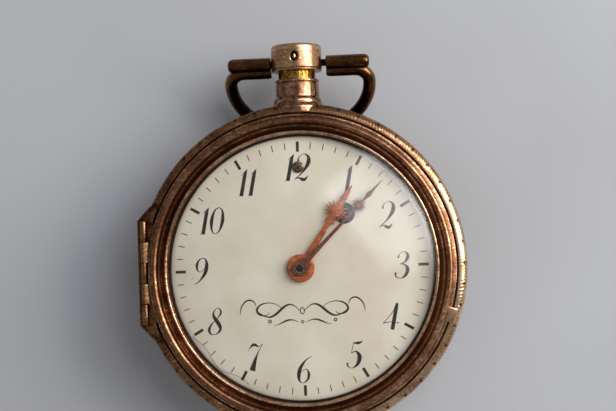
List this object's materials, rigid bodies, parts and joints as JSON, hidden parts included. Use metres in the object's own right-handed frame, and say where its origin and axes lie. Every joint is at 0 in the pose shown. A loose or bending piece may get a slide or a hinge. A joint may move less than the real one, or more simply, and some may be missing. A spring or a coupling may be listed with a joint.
{
  "type": "open face pocket watch",
  "caption": "Key-wound open face pocket watch with a hinged bezel, domed crystal, enamel dial, two hands, push-piece pendant, stirrup bow and a full verge movement.",
  "frame": {"origin": "on the dial's axis, in the flat of the case back that the watch rests on", "axes": "+Z out of the dial, +Y from the dial's centre to the pendant at 12 o'clock, +X to 3 o'clock"},
  "size_m": [0.054, 0.0641, 0.0188],
  "materials": {
    "rose_gold": "worn rose gold plate",
    "pale_gold": "polished pale gold",
    "brass": "turned brass",
    "gilt_brass": "fire gilt",
    "dark_bronze": "darkened bronze",
    "steel": "polished steel",
    "blued_steel": "heat blued",
    "rusty_steel": "rusted",
    "enamel": "fired enamel on copper",
    "glass": "clear crystal"
  },
  "bodies": {
    "case": {"case_back": "rose_gold", "case_band": "rose_gold", "pendant_neck": "rose_gold", "bezel_hinge_pin": "brass", "movement_hinge_lug": "rose_gold", "movement_hinge_pin": "steel", "catch_spring": "steel", "catch_spring_screw": "steel"},
    "bezel": {"bezel_ring": "rose_gold", "crystal": "glass"},
    "push_piece": {"push_cap": "pale_gold", "push_stem": "brass", "bow_pin": "brass"},
    "bow": {"bow": "dark_bronze"},
    "movement": {"front_plate": "gilt_brass", "back_plate": "gilt_brass", "pillar_1": "gilt_brass", "pillar_2": "gilt_brass", "pillar_3": "gilt_brass", "pillar_4": "gilt_brass", "dial": "enamel", "dial_screw": "rusty_steel", "movement_hinge_knuckle": "gilt_brass", "balance_cock": "gilt_brass", "cock_screw": "blued_steel", "potence": "gilt_brass", "counter_potence": "gilt_brass", "hairspring": "blued_steel", "hairspring_stud": "steel", "regulator_dial": "steel", "barrel_arbor": "steel", "mainspring": "blued_steel", "fusee_chain": "steel", "minute_post": "steel", "latch_screw": "steel"},
    "latch": {"latch_bolt": "steel"},
    "centre": {"centre_pinion": "steel", "centre_wheel": "brass", "cannon_pinion": "steel", "minute_hand": "rusty_steel"},
    "hour": {"hour_wheel": "brass", "hour_hand": "rusty_steel"},
    "minute_work": {"minute_wheel": "brass", "minute_pinion": "steel"},
    "great": {"great_wheel": "brass"},
    "fusee": {"fusee": "gilt_brass"},
    "barrel": {"barrel_drum": "gilt_brass", "barrel_cap": "gilt_brass"},
    "third": {"third_pinion": "steel", "third_wheel": "brass"},
    "contrate": {"contrate_pinion": "steel", "contrate_wheel": "brass"},
    "crown": {"crown_wheel": "brass"},
    "balance": {"balance_wheel": "brass", "verge_staff": "steel"},
    "regulator": {"regulator_hand": "blued_steel"}
  },
  "joints": [
    {"name": "bezel_open", "type": "hinge", "parent": "case", "child": "bezel", "pos_m": [-0.026, 0, 0.01295], "axis": [0, -1, 0], "range_deg": [0, 120]},
    {"name": "movement_swing", "type": "hinge", "parent": "case", "child": "movement", "pos_m": [0, 0.02275, 0.01165], "axis": [-1, 0, 0], "range_deg": [0, 36]},
    {"name": "push_slide", "type": "slide", "parent": "case", "child": "push_piece", "axis": [0, -1, 0], "range_m": [0, 0.0012], "stiffness_N_per_m": 1500, "springref_m": -0.001},
    {"name": "bow_swing", "type": "hinge", "parent": "push_piece", "child": "bow", "pos_m": [0, 0.034, 0.0096], "axis": [1, 0, 0], "range_deg": [-5, 288]},
    {"name": "centre_turn", "type": "hinge", "parent": "movement", "child": "centre", "pos_m": [0, 0, 0.0105], "axis": [0, 0, -1], "continuous": true},
    {"name": "hour_turn", "type": "hinge", "parent": "movement", "child": "hour", "pos_m": [0, 0, 0.014], "axis": [0, 0, -1], "continuous": true},
    {"name": "minute_work_turn", "type": "hinge", "parent": "movement", "child": "minute_work", "pos_m": [0, -0.004, 0.0125], "axis": [0, 0, -1], "continuous": true},
    {"name": "great_wheel_turn", "type": "hinge", "parent": "movement", "child": "great", "pos_m": [0.00733, 0.00873, 0.0097], "axis": [0, 0, -1], "continuous": true},
    {"name": "third_turn", "type": "hinge", "parent": "movement", "child": "third", "pos_m": [0.00391, -0.0064, 0.008], "axis": [0, 0, -1], "continuous": true},
    {"name": "contrate_turn", "type": "hinge", "parent": "movement", "child": "contrate", "pos_m": [0.00917, -0.0076, 0.008], "axis": [0, 0, -1], "continuous": true},
    {"name": "crown_turn", "type": "hinge", "parent": "movement", "child": "crown", "pos_m": [0, -0.0076, 0.0084], "axis": [1, 0, 0], "continuous": true},
    {"name": "fusee_winding", "type": "hinge", "parent": "great", "child": "fusee", "pos_m": [0.00733, 0.00873, 0.008], "axis": [0, 0, -1], "range_deg": [0, 1800]},
    {"name": "barrel_turn", "type": "hinge", "parent": "movement", "child": "barrel", "pos_m": [-0.01024, 0.00545, 0.008], "axis": [0, 0, -1], "range_deg": [0, 1350]},
    {"name": "balance_swing", "type": "hinge", "parent": "movement", "child": "balance", "pos_m": [-0.0052, -0.0076, 0.006], "axis": [0, 0, 1], "range_deg": [-50, 50], "stiffness_Nm_per_rad": 0.0000008},
    {"name": "latch_slide", "type": "slide", "parent": "movement", "child": "latch", "axis": [0, -1, 0], "range_m": [0, 0.0009]},
    {"name": "regulator_turn", "type": "hinge", "parent": "movement", "child": "regulator", "pos_m": [0.0042, -0.0046, 0.0045], "axis": [0, 0, 1], "range_deg": [-100, 100]}
  ],
  "couplings": [
    {"joint": "movement_swing", "follows": "bezel_open", "ratio": 0.3},
    {"joint": "hour_turn", "follows": "centre_turn", "ratio": 0.083333},
    {"joint": "minute_work_turn", "follows": "centre_turn", "ratio": -0.33333},
    {"joint": "great_wheel_turn", "follows": "centre_turn", "ratio": -0.25},
    {"joint": "third_turn", "follows": "centre_turn", "ratio": -9},
    {"joint": "contrate_turn", "follows": "centre_turn", "ratio": 72},
    {"joint": "crown_turn", "follows": "centre_turn", "ratio": 576},
    {"joint": "barrel_turn", "follows": "fusee_winding", "ratio": 0.75}
  ]
}
